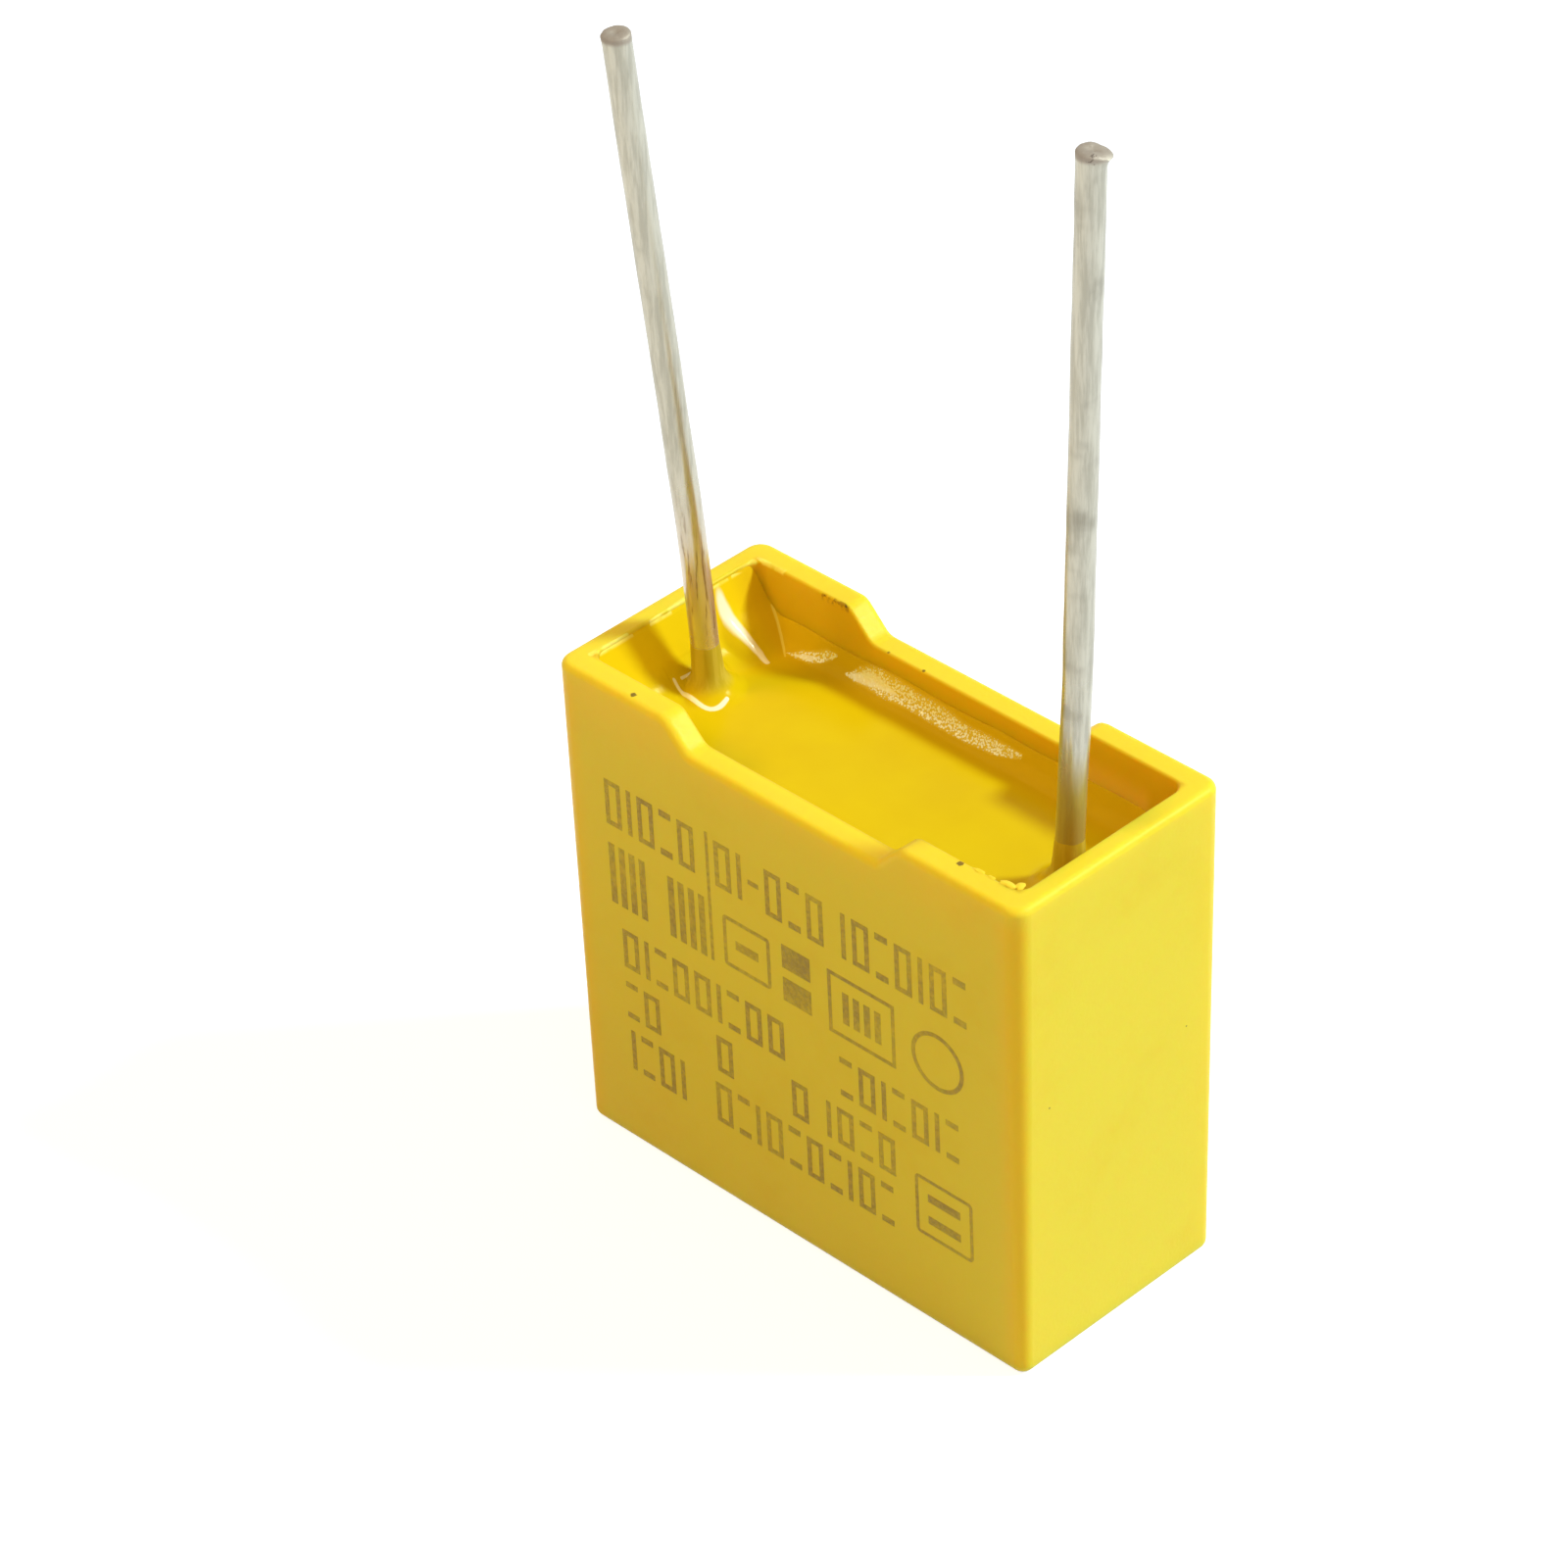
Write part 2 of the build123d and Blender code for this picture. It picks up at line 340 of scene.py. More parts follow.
# Rubbed edges: 1 near the upright corners and along the rim, broken up where they are less worn.
rubbed, inside = new_group(
    "rubbed_edges", {"Place": (0, 0, 0), "Half width": case_width / 2 * MM,
                     "Half depth": case_depth / 2 * MM, "Height": case_height * MM,
                     "Spread": 0.00035}, "Mask")
axes = by_axis(rubbed, inside["Place"])
from_rim = calc(rubbed, "SUBTRACT", inside["Height"], axes["Z"])
narrowing = calc(rubbed, "MULTIPLY", from_rim, draft_slope)
gap_x, gap_y = [
    calc(rubbed, "SUBTRACT", calc(rubbed, "SUBTRACT", inside[half], narrowing),
         calc(rubbed, "ABSOLUTE", axes[axis]))
    for half, axis in (("Half width", "X"), ("Half depth", "Y"))]
rim_gap = calc(rubbed, "ADD", calc(rubbed, "MINIMUM", gap_x, gap_y),
               calc(rubbed, "ABSOLUTE", from_rim))
nearest = calc(rubbed, "MINIMUM", calc(rubbed, "ADD", gap_x, gap_y), rim_gap)
worn = ramp(rubbed, nearest, inside["Spread"], 0.0)
patchy = ramp(rubbed, clouds(rubbed, inside["Place"], 1500.0, 4.0, 0.7), 0.3, 0.7)
put(rubbed, "NodeGroupOutput", {"Mask": calc(rubbed, "MULTIPLY", worn, patchy)})

case_finish, tree, shader = new_finish("yellow_polyester")
where = place(tree)
axes = by_axis(tree, where)
out_x, out_y = [calc(tree, "ABSOLUTE", axes[axis]) for axis in "XY"]
surface = use(tree, skin, Place=where, Grain_size=0.09 * MM, Swell_size=1.2 * MM, Grain_share=0.35)
worn = use(tree, rubbed, Place=where)["Mask"]
colour = mix_colour(tree, ramp(tree, surface["Mottle"], 0.35, 0.7), case_deep_colour, case_colour)
colour = mix_colour(tree, ramp(tree, surface["Mottle"], 0.2, 0.55), colour, case_colour)
colour = tinted(tree, colour, worn, 0.55, case_rubbed_colour)
# Light that has gone through the upright corners makes the long sides ruddier there.
ruddy = product(tree, ramp(tree, out_x, 5.7 * MM, 6.3 * MM, 0.0, 0.7),
                ramp(tree, out_y, 2.62 * MM, 2.80 * MM), ramp(tree, axes["Z"], 11.8 * MM, 11.4 * MM))
colour = mix_colour(tree, ruddy, colour, case_ruddy_colour)
# Inside the open end the walls are given a deeper, more orange colour.
within = product(tree, ramp(tree, out_x, 6.08 * MM, 5.9 * MM),
                 ramp(tree, out_y, 2.48 * MM, 2.34 * MM))
colour = mix_colour(tree, within, colour, case_inner_colour)
# Painted highlight: a soft pool of light on the inside of the far wall, near the right-hand end.
gathered = product(tree, lines_mask(tree, where, [glow_line]), within,
                   ramp(tree, axes["Z"], 11.6 * MM, 10.9 * MM))
colour = tinted(tree, colour, gathered, 0.5, case_glow_colour)
# Painted highlights: pale lemon lines along the inner edge of the rim.
rim_highlights = product(tree, lines_mask(tree, where, rim_highlight_lines),
                ramp(tree, axes["Z"], 11.88 * MM, 11.97 * MM),
                ramp(tree, clouds(tree, where, 2600.0, 3.0), 0.25, 0.5))
colour = tinted(tree, colour, rim_highlights, 0.8, rim_highlight_colour)
charred = product(tree, lines_mask(tree, where, [charred_line]),
                  ramp(tree, axes["Z"], 11.8 * MM, 11.9 * MM),
                  ramp(tree, surface["Grain"], 0.40, 0.55))
colour = tinted(tree, colour, charred, 0.6, charred_colour)
specks = 0.0
for centre, radius in case_grains:
    speck = use(tree, spot, Place=where, Centre=tuple(c * MM for c in centre), Radius=radius * MM)
    specks = calc(tree, "MAXIMUM", speck["Mask"], specks)
colour = tinted(tree, colour, specks, 0.85, grain_colour)
rough = calc(tree, "MULTIPLY_ADD", surface["Grain"], 0.16, 0.34)
fill(tree, shader, {
    "Base Color": colour, "Roughness": calc(tree, "MULTIPLY_ADD", worn, 0.08, rough),
    "IOR": 1.52, "Specular IOR Level": 0.2, "Specular Tint": (1.0, 0.9, 0.6, 1.0),
    "Subsurface Weight": 0.55, "Subsurface Radius": (1.0, 0.42, 0.04),
    "Subsurface Scale": 0.8 * MM})
relief(tree, shader, surface["Height"], 0.5, 0.025 * MM)
dress("case", case_finish)


# ---- Winding and its sprayed ends ----
# A roll of metallised polypropylene film, pressed flat, with zinc sprayed on both ends for the
# leads to be welded to. All of it is sealed in the resin.
film_colour = (0.52, 0.53, 0.55, 1.0)
film_edge_colour = (0.30, 0.30, 0.31, 1.0)
zinc_colour = (0.36, 0.36, 0.37, 1.0)
zinc_dull_colour = (0.22, 0.22, 0.23, 1.0)
film_turn = 0.06 * MM

film_finish, tree, shader = new_finish("metallised_film")
where = place(tree)
turns = put(tree, "ShaderNodeTexWave", {"Vector": where, "Scale": 1 / (20 * film_turn),
                                        "Distortion": 0.6, "Detail": 2.0},
            bands_direction="Y").outputs["Fac"]
surface = use(tree, skin, Place=where, Grain_size=0.2 * MM, Swell_size=2 * MM, Grain_share=0.2)
fill(tree, shader, {
    "Base Color": mix_colour(tree, turns, film_edge_colour, film_colour), "Metallic": 0.6,
    "Roughness": calc(tree, "MULTIPLY_ADD", surface["Mottle"], 0.2, 0.18)})
relief(tree, shader, turns, 0.4, 0.02 * MM)
dress("film_winding", film_finish)

zinc_finish, tree, shader = new_finish("sprayed_zinc")
surface = use(tree, skin, Place=place(tree), Grain_size=0.07 * MM, Swell_size=0.5 * MM,
              Grain_share=0.8)
fill(tree, shader, {
    "Base Color": mix_colour(tree, surface["Grain"], zinc_dull_colour, zinc_colour),
    "Metallic": 0.8, "Roughness": calc(tree, "MULTIPLY_ADD", surface["Grain"], 0.3, 0.45)})
relief(tree, shader, surface["Height"], 0.8, 0.05 * MM)
dress("end_spray_left", zinc_finish)
dress("end_spray_right", zinc_finish)


# ---- Potting resin ----
# Yellow epoxy poured into the open end. While liquid it climbed the end walls, the long walls
# and both leads, and it set glossy, with a band of fine grains along the foot of the far wall.
resin_level = 10.38
resin_low_z = 0.7
wall_half_x = case_width / 2 - end_wall         # inside of the walls, at the rim
wall_half_y = case_depth / 2 - side_wall
inside_corner = 0.2
# How far the resin climbed each kind of wall, how steeply it leaves it, and how wide it curves out.
end_climb, end_lean, end_curve = 1.53, 16.0, 1.0
side_climb, side_lean, side_curve = 0.5, 24.0, 0.4
wall_overlap = 0.025                    # the resin's edge reaches this far into the walls,
rim_overlap = 0.05                      # and where it climbed to the rim, this far over it,
rim_skin = 0.002                        # this thick
lead_radius = 0.3
lead_pitch = 10.0
lead_bend_z = 9.85
collar_radius = lead_radius + 0.04      # resin round each wire: where its flare ends,
collar_reach = 0.82                     # where the flare starts, and how steep it gets
collar_steepness = 15.0
collar_fold = 0.03                      # how softly it meets the rest of the resin
collar_zone = 1.3                       # the flare is looked for this near a lead
# Film of resin drawn up each wire: heights above the level, and how far it stands off the wire.
wire_film = [(0.70, 0.034), (0.85, 0.026), (1.0, 0.018), (1.12, 0.009), (1.20, 0.002),
             (1.28, -0.012)]
wire_hole_z = 5.0
# The far left-hand corner, where the resin runs nearly straight from wall to floor, beyond a ridge.
bridge_end_x, bridge_corner_x = -4.4, -5.93
bridge_height, bridge_slope, bridge_fold = 1.0, 1.07, 0.24
ridge_y, ridge_slope, ridge_width = 1.12, 0.3, 0.8
# Each lead: its side, the turn of its lean towards the printed side, its lean above the resin,
# the height of its second bend, the lean above that and the height of its tip.
leads = {
    "lead_left": (-1, 75.0, 3.7, 14.51, 5.26, 26.25),
    "lead_right": (1, 0.0, 3.4, 15.5, 2.1, 27.4),
}
resin_colour = (0.70, 0.56, 0.004, 1.0)
resin_deep_colour = (0.66, 0.50, 0.003, 1.0)
resin_glint_colour = (1.0, 1.0, 0.62, 1.0)
resin_highlight_colour = (1.0, 1.0, 0.80, 1.0)
resin_sheen_colour = (1.0, 0.93, 0.22, 1.0)
resin_thin_and_lit_colour = (0.84, 0.635, 0.006, 1.0)
resin_over_wire_colour = (0.44, 0.35, 0.03, 1.0)
resin_over_wire_pale_colour = (0.54, 0.44, 0.06, 1.0)
# Ridge left where resin ran back down the left-hand end, and the raised lips of the left collar:
# points in plan, each with the line's half width there.
run_line = [(-5.82, 1.20, 0.14), (-5.73, 1.24, 0.16), (-5.58, 1.29, 0.15), (-5.44, 1.35, 0.13),
            (-5.26, 1.41, 0.11), (-5.04, 1.45, 0.09), (-4.79, 1.42, 0.06)]
lip_points = [(-5.49, -0.59, 0.04), (-5.33, -0.62, 0.04), (-5.13, -0.63, 0.042),
              (-4.89, -0.64, 0.045), (-4.63, -0.63, 0.048), (-4.46, -0.57, 0.055),
              (-4.38, -0.45, 0.06), (-4.37, -0.30, 0.055), (-4.40, -0.14, 0.04)]
short_line = [(-5.46, -0.41, 0.03), (-5.45, -0.14, 0.025)]
# Fold where the resin that bridges the far left-hand corner meets the far wall, drawn as a painted
# highlight line.
fold_highlight_line = [(-5.55, 2.36, 0.035), (-5.30, 2.26, 0.03), (-5.10, 2.15, 0.035), (-4.88, 2.00, 0.03),
             (-4.68, 1.84, 0.02)]
# Stretches along the rim of the left-hand end where the resin's edge is given painted highlights.
resin_rim_highlights = [
    [(-5.98, -2.22, 0.03), (-5.98, -1.50, 0.045)], [(-5.98, -1.46, 0.05), (-5.98, -1.24, 0.02)],
    [(-5.98, -0.72, 0.02), (-5.98, -0.15, 0.045)], [(-5.97, 1.05, 0.02), (-5.95, 1.50, 0.05)],
    [(-5.97, 1.66, 0.04), (-5.93, 2.10, 0.02)],
]
# Band of grains along the foot of the far wall, in two stretches, and how far they stand up.
band_from_y = 1.8
band_thickness, band_lumps, lumps_per_mm = 0.012, 0.022, 18
grain_lines = [[(-4.72, 1.95, 0.03), (-4.45, 2.03, 0.10), (-4.12, 2.10, 0.12), (-3.85, 2.20, 0.09),
                (-3.58, 2.27, 0.02)],
               [(-3.20, 2.14, 0.03), (-2.90, 2.18, 0.11), (-2.54, 2.21, 0.14), (-2.06, 2.19, 0.15),
                (-1.39, 2.20, 0.12), (-0.60, 2.20, 0.13), (0.27, 2.17, 0.11), (1.05, 2.19, 0.09),
                (1.68, 2.25, 0.03)]]
# Painted highlights: smooth streaks among the grains.
painted_gleam_lines = [[(-4.55, 1.98, 0.015), (-4.32, 2.04, 0.06), (-4.12, 2.09, 0.04), (-3.98, 2.15, 0.01)],
               [(-3.12, 2.14, 0.015), (-2.86, 2.17, 0.07), (-2.55, 2.20, 0.09), (-2.20, 2.20, 0.05),
                (-1.80, 2.19, 0.015)]]


def smoothed(line):
    """The same line with a rounded course through twice as many points."""
    ends = [line[0]] + list(line) + [line[-1]]
    course = []
    for before, start, end, after in zip(ends, ends[1:], ends[2:], ends[3:]):
        halfway = tuple((9 * (p + q) - o - r) / 16 for o, p, q, r in zip(before, start, end, after))
        course += [start, halfway]
    return course + [line[-1]]


lip_line = smoothed(lip_points)


def outward_of(side, turn):
    """The level direction that a lead leans in."""
    return Vector((side * cos(radians(turn)), -sin(radians(turn))))


def lead_axis(side, turn, lean, z):
    """Where a lead's axis is in plan, in mm, at a height below its second bend."""
    return (Vector((side * lead_pitch / 2, 0.0))
            + outward_of(side, turn) * ((z - lead_bend_z) * tan(radians(lean))))


def concave(gap, climb, lean, radius):
    """Height of resin that has climbed a wall: straight by the wall, then curving out flat."""
    slope = tan(radians(lean))
    tangent = radius * tan(radians((90 - lean) / 2))
    flat_from = climb * slope + tangent
    straight_to = climb * slope - tangent * sin(radians(lean))
    if gap >= flat_from:
        return 0.0
    if gap <= straight_to:
        return climb - max(gap, 0.0) / slope
    return radius - sqrt(max(radius ** 2 - (flat_from - gap) ** 2, 0.0))


def uneven(depth, *at):
    """A smooth random height of about this depth, at a place in three-dimensional noise."""
    return depth * noise.noise(Vector(at))


def eased(t):
    """0 up to 0, 1 from 1 on, and smooth between."""
    t = min(max(t, 0.0), 1.0)
    return t * t * (3 - 2 * t)


def soft_larger(a, b, blend):
    """The larger of two heights, with the fold between them rounded."""
    return max(a, b) + max(blend - abs(a - b), 0.0) ** 2 / (4 * blend)


def nearest_on(line, x, y):
    """The nearest stretch of a line of points: its distance, and the line's half width there."""
    best = (9.0, 1.0)
    for start, end in zip(line, line[1:]):
        run = Vector((end[0] - start[0], end[1] - start[1]))
        across = Vector((x - start[0], y - start[1]))
        share = min(max(across.dot(run) / run.length_squared, 0.0), 1.0)
        gap = (across - run * share).length
        if gap < best[0]:
            best = (gap, start[2] + (end[2] - start[2]) * share)
    return best


def bead(line, x, y, height, width=1.0):
    """Height of a rounded bead along a line. Both sizes are shares of the line's half width."""
    gap, half_width = nearest_on(line, x, y)
    return height * half_width * exp(-(gap / (width * half_width)) ** 2)


def bridged(end, x, y):
    """Height by the left-hand end, where the resin also bridges the corner beyond the ridge."""
    along = x - bridge_corner_x
    bridge = bridge_height - bridge_slope * along
    beyond = eased((y - ridge_y - along * ridge_slope + ridge_width) / ridge_width)
    # Short of the ridge the bridge is kept well below the surface.
    bridge = (end - 1) * (1 - beyond) + bridge * beyond
    return soft_larger(end, bridge, bridge_fold) + bead(run_line, x, y, 0.3)


def resin_height(x, y):
    """Height of the set resin above its flat middle, at a point in mm."""
    narrowing = (case_height - resin_level) * draft_slope
    gap_x = wall_half_x - narrowing - abs(x)
    gap_y = wall_half_y - narrowing - abs(y)
    end = concave(gap_x, end_climb + uneven(0.02, y * 1.3, x, 5.2), end_lean, end_curve)
    if x < bridge_end_x:
        end = bridged(end, x, y)
    foot = uneven(0.05, x * 0.8, 3.1 if y > 0 else 9.7, 0.4)
    side = concave(gap_y, side_climb + foot, side_lean, side_curve)
    wall = (end ** 6 + side ** 6) ** (1 / 6)
    if y > band_from_y:
        for line in grain_lines:
            gap, half_width = nearest_on(line, x, y)
            if gap < half_width:
                lumps = uneven(band_lumps, x * lumps_per_mm, y * lumps_per_mm, 2.2)
                wall += (band_thickness + lumps) * eased(1.6 * (1 - gap / half_width))
    swell = uneven(0.018, x * 0.55, y * 0.7, 1.7)
    ripple = uneven(0.003, x * 2.1, y * 2.6, 8.3)
    return wall + swell + ripple


def collar_profile(gap):
    """Height of the flare of resin at a distance from a lead's axis."""
    steepest = radians(collar_steepness)
    flare = (collar_reach - collar_radius) / (1 - sin(steepest))
    if gap >= collar_reach:
        return 0.0
    across = collar_radius + flare - max(gap, collar_radius)
    return flare * cos(steepest) - sqrt(max(flare ** 2 - across ** 2, 0.0))


def poured_height(x, y, gap):
    """Height of the resin round a lead, whose axis is that far away."""
    collar = collar_profile(gap) - 0.1 * max(gap - collar_reach, 0.0)
    height = soft_larger(resin_height(x, y), collar, collar_fold)
    if x < 0:
        height += bead(lip_line, x, y, 0.2, 0.9) + bead(short_line, x, y, 0.2, 0.9)
    return height


def rounded_plan(x, y):
    """Moves a point of the square plan into the plan with rounded corners."""
    straight_x = wall_half_x - inside_corner
    straight_y = wall_half_y - inside_corner
    if abs(x) <= straight_x or abs(y) <= straight_y:
        return x, y
    u = (abs(x) - straight_x) / inside_corner
    v = (abs(y) - straight_y) / inside_corner
    new_x = straight_x + inside_corner * u * sqrt(1 - v * v / 2)
    new_y = straight_y + inside_corner * v * sqrt(1 - u * u / 2)
    return (new_x if x > 0 else -new_x), (new_y if y > 0 else -new_y)


def resin_top(x, y):
    """Where a point of the square plan lies on top of the resin, in mm."""
    x, y = rounded_plan(x, y)
    height = resin_height(x, y)
    for side, turn, lean, *_ in leads.values():
        gap = (Vector((x, y)) - lead_axis(side, turn, lean, resin_level)).length
        if gap < collar_zone:
            height = poured_height(x, y, gap)
    z = resin_level + height
    pull_x = 1 - (case_height - z) * draft_slope / wall_half_x
    pull_y = 1 - (case_height - z) * draft_slope / wall_half_y
    outermost = 0.02
    over_rim = eased((abs(x) - wall_half_x) / outermost + 1) * (z > case_height - 0.3)
    if over_rim > 0:
        z += (case_height + rim_skin - z) * over_rim
        pull_x += rim_overlap / wall_half_x * over_rim
    elif abs(x) > wall_half_x - 0.01:
        pull_x += wall_overlap / wall_half_x
    if abs(y) > wall_half_y - 0.01:
        pull_y += wall_overlap / wall_half_y
    return x * pull_x, y * pull_y, z


def collar_rings(edge, side, turn, lean):
    """Rings of places from round a lead in to its wire, then up the wire and down inside."""
    root = lead_axis(side, turn, lean, resin_level)
    drift = outward_of(side, turn) * tan(radians(lean))
    spokes = [Vector((x, y)) - root for x, y in edge]
    rings = []
    count = 30
    for step in range(1, count + 1):
        share = (1 - step / count) ** 1.3
        ring = []
        for spoke in spokes:
            gap = collar_radius + (spoke.length - collar_radius) * share
            at = root + spoke.normalized() * gap
            height = poured_height(at.x, at.y, gap)
            at += drift * (height * (1 - share))
            ring.append((at.x, at.y, resin_level + height))
        rings.append(ring)
    for height, stand_off in wire_film:
        ring = []
        for spoke in spokes:
            away = spoke.normalized()
            z = height * (1 + uneven(0.035, away.x, away.y, side * 3.0))
            at = root + away * (lead_radius + stand_off) + drift * z
            ring.append((at.x, at.y, resin_level + z))
        rings.append(ring)
    foot = lead_axis(side, turn, lean, lead_bend_z)
    inside_wire = [foot + spoke.normalized() * lead_radius for spoke in spokes]
    for z in (lead_bend_z, wire_hole_z):
        rings.append([(at.x, at.y, z) for at in inside_wire])
    return rings


def steps(start, end, count):
    """The start of each of so many equal steps."""
    return [start + (end - start) * i / count for i in range(count)]


def edge_of(columns, rows):
    """Points round the edge of a net that has these columns and rows."""
    return ([(x, rows[0]) for x in columns[:-1]] + [(columns[-1], y) for y in rows[:-1]]
            + [(x, rows[-1]) for x in columns[:0:-1]] + [(columns[0], y) for y in rows[:0:-1]])


def joined(ring, other):
    """Faces between two rings that have as many points as each other."""
    count = len(ring)
    return [[ring[i], ring[(i + 1) % count], other[(i + 1) % count], other[i]]
            for i in range(count)]


def build_resin():
    """Top of the resin as a fine net with a ring of cells round each lead, then sides and bottom."""
    points, faces, known = [], [], {}

    def point(x, y, z):
        key = (round(x, 5), round(y, 5), round(z, 5))
        if key not in known:
            known[key] = len(points)
            points.append((x * MM, y * MM, z * MM))
        return known[key]

    # The net is finer by the leads and the walls, and leaves out a square round each lead.
    square = 0.70
    square_low, square_high = lead_pitch / 2 - square, lead_pitch / 2 + square
    straight_x, straight_y = wall_half_x - inside_corner, wall_half_y - inside_corner
    columns = (steps(-wall_half_x, -straight_x, 10) + steps(-straight_x, -square_high, 4)
               + steps(-square_high, -square_low, 48) + steps(-square_low, square_low, 170)
               + steps(square_low, square_high, 48) + steps(square_high, straight_x, 4)
               + steps(straight_x, wall_half_x, 10) + [wall_half_x])
    rows = (steps(-wall_half_y, -straight_y, 8) + steps(-straight_y, -square, 32)
            + steps(-square, square, 40) + steps(square, straight_y, 40)
            + steps(straight_y, wall_half_y, 10) + [wall_half_y])
    for left, right in zip(columns, columns[1:]):
        for low, high in zip(rows, rows[1:]):
            x, y = (left + right) / 2, (low + high) / 2
            if not (square_low < abs(x) < square_high and abs(y) < square):
                corners = ((left, low), (right, low), (right, high), (left, high))
                faces.append([point(*resin_top(*corner)) for corner in corners])

    near = 1e-6
    square_rows = [y for y in rows if abs(y) < square + near]
    for side, turn, lean, *_ in leads.values():
        square_columns = [x for x in columns if square_low - near < side * x < square_high + near]
        edge = edge_of(square_columns, square_rows)
        rings = [[point(*resin_top(x, y)) for x, y in edge]]
        for ring in collar_rings(edge, side, turn, lean):
            rings.append([point(*at) for at in ring])
            faces += joined(rings[-2], rings[-1])
        faces.append(rings[-1])

    outline = edge_of(columns, rows)
    upper = [point(*resin_top(x, y)) for x, y in outline]
    narrowing = (case_height - resin_low_z) * draft_slope
    lower = []
    for x, y in (rounded_plan(x, y) for x, y in outline):
        lower.append(point(x * (1 - narrowing / wall_half_x), y * (1 - narrowing / wall_half_y),
                           resin_low_z))
    faces += joined(lower, upper)
    faces.append(lower[::-1])
    return points, faces


def add_piece(name, points, faces, finish, smooth=True):
    """Makes a piece from points in metres, and joins it to the part."""
    mesh = bpy.data.meshes.new(name)
    mesh.from_pydata(points, [], faces)
    mesh.validate()
    mesh.update()
    if smooth:
        mesh.shade_smooth()
        mesh.set_sharp_from_angle(angle=radians(60))
    else:
        mesh.shade_flat()
    piece = bpy.data.objects.new(name, mesh)
    piece.data.materials.append(finish)
    bpy.context.scene.collection.objects.link(piece)
    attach(piece, "root")
    return piece


resin_finish, tree, shader = new_finish("cast_epoxy")
where = place(tree)
axes = by_axis(tree, where)
surface = use(tree, skin, Place=where, Grain_size=0.11 * MM, Swell_size=1.6 * MM, Grain_share=0.5)
colour = mix_colour(tree, ramp(tree, surface["Mottle"], 0.3, 0.7), resin_deep_colour, resin_colour)
# Where it has climbed the ends it is a thin film and paler, partly because the bright case shows
# through and partly as painted light that brightens these walls.
ends = product(tree, ramp(tree, axes["Z"], 10.45 * MM, 11.1 * MM),
               ramp(tree, calc(tree, "ABSOLUTE", axes["X"]), 4.4 * MM, 5.2 * MM))
colour = mix_colour(tree, ends, colour, resin_thin_and_lit_colour)
# Painted shade: near the far wall, where it has climbed that, the resin is given the far wall's
# deeper colour for the shade the wall casts on it.
colour = tinted(tree, colour, ramp(tree, axes["Y"], 1.4 * MM, 2.1 * MM), 0.6, case_inner_colour)
# The wires show dark through the collars, with their drawing marks.
over_wire = 0.0
for side, turn, lean, *_ in leads.values():
    drift = outward_of(side, turn) * tan(radians(lean))
    foot = lead_axis(side, turn, lean, 0.0) * MM
    gap_x, gap_y = [
        calc(tree, "SUBTRACT", axes[axis], calc(tree, "MULTIPLY_ADD", axes["Z"], leaning, start))
        for axis, leaning, start in (("X", drift.x, foot.x), ("Y", drift.y, foot.y))]
    squared = calc(tree, "MULTIPLY_ADD", gap_x, gap_x, calc(tree, "MULTIPLY", gap_y, gap_y))
    near_wire = ramp(tree, calc(tree, "SQRT", squared), 0.56 * MM, 0.35 * MM)
    over_wire = calc(tree, "MAXIMUM", over_wire, near_wire)
drawn = clouds(tree, vector_calc(tree, "MULTIPLY", where, (1.0, 1.0, 0.06)), 6500.0, 3.0)
seen_wire = mix_colour(tree, ramp(tree, drawn, 0.4, 0.64), resin_over_wire_colour,
                       resin_over_wire_pale_colour)
colour = tinted(tree, colour, over_wire, 0.85, seen_wire)
# Painted highlights: the ridge of the run, the lips of the left collar, the short line beside it and
# the smooth streaks among the grains are given a near-white colour.
raised = lines_mask(tree, where, [run_line, lip_line, short_line] + painted_gleam_lines)
colour = tinted(tree, colour, raised, 0.95, resin_highlight_colour)
colour = tinted(tree, colour, lines_mask(tree, where, [fold_highlight_line]), 0.45, resin_sheen_colour)
# Painted highlights along the rim of the left-hand end.
edges = product(tree, lines_mask(tree, where, resin_rim_highlights),
                ramp(tree, axes["Z"], 11.84 * MM, 11.92 * MM),
                ramp(tree, clouds(tree, where, 3500.0, 3.0), 0.28, 0.5))
colour = tinted(tree, colour, edges, 0.8, resin_sheen_colour)
# Grains: pale dots, which are larger in the middle of the band. The pale dots and the paler band
# under them are painted highlights.
band = lines_mask(tree, where, grain_lines)
dots = put(tree, "ShaderNodeTexVoronoi", {"Vector": where, "Scale": 21000.0}).outputs["Distance"]
dot_size = calc(tree, "SUBTRACT", calc(tree, "MULTIPLY_ADD", band, 0.5, 0.12), 0.25)
dot_size = calc(tree, "MULTIPLY_ADD", surface["Grain"], 0.5, dot_size)
grains = product(tree, ramp(tree, dots, dot_size, calc(tree, "SUBTRACT", dot_size, 0.22)),
                 ramp(tree, band, 0.0, 0.3))
colour = tinted(tree, colour, band, 0.3, resin_sheen_colour)
colour = mix_colour(tree, grains, colour, resin_glint_colour)
rough = calc(tree, "MULTIPLY_ADD", surface["Mottle"], 0.1, 0.16)
fill(tree, shader, {
    "Base Color": colour, "Roughness": calc(tree, "MULTIPLY_ADD", band, 0.1, rough),
    "Metallic": calc(tree, "MULTIPLY", grains, 0.25),
    "Coat Weight": calc(tree, "MAXIMUM", raised, calc(tree, "MULTIPLY", grains, 0.8)),
    "Coat Roughness": 0.15, "IOR": 1.56, "Specular IOR Level": 0.05,
    "Specular Tint": (1.0, 0.88, 0.45, 1.0)})
lumps = calc(tree, "MULTIPLY_ADD", grains, 2.0, surface["Height"])
relief(tree, shader, lumps, 0.5, 0.012 * MM)

resin_points, resin_faces = build_resin()
resin = add_piece("potting_resin_cast", resin_points, resin_faces, resin_finish)
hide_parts("potting_resin")


